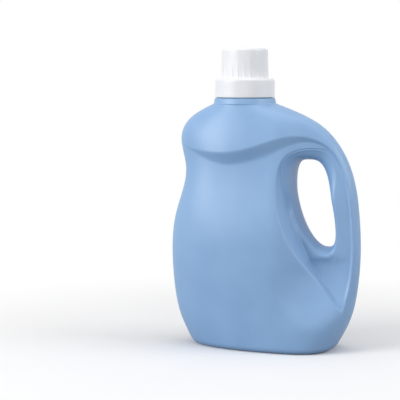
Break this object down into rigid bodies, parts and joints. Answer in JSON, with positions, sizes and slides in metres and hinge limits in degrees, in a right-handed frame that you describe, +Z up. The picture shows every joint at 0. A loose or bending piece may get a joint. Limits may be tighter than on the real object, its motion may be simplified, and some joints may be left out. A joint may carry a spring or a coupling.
{
  "type": "laundry detergent bottle",
  "caption": "Blow-moulded jug with a through handle, an overhanging dome, a drain-back spout and a screwed dosing cap that turns and lifts off.",
  "frame": {"origin": "middle of the footprint, on the surface that the bottle stands on", "axes": "+Z up along the neck, +X towards the handle, -Y the main panel seen in the picture"},
  "size_m": [0.205, 0.096, 0.3126],
  "materials": {
    "bottle_plastic": "satin",
    "spout_plastic": "satin",
    "seal_rubber": "matte",
    "cap_plastic": "gloss"
  },
  "bodies": {
    "container": {"bottle": "bottle_plastic", "pour_spout": "spout_plastic"},
    "seal": {"seal_ring": "seal_rubber"},
    "cap": {"dosing_cap": "cap_plastic"}
  },
  "joints": [
    {"name": "cap_lift", "type": "slide", "parent": "container", "child": "seal", "axis": [0, 0, 1], "range_m": [0, 0.0401]},
    {"name": "cap_turn", "type": "hinge", "parent": "seal", "child": "cap", "pos_m": [-0.0223, 0, 0.27], "axis": [0, 0, 1], "range_deg": [0, 1440]}
  ],
  "couplings": [
    {"joint": "cap_lift", "follows": "cap_turn", "m_per_rad": 0.0015915}
  ]
}
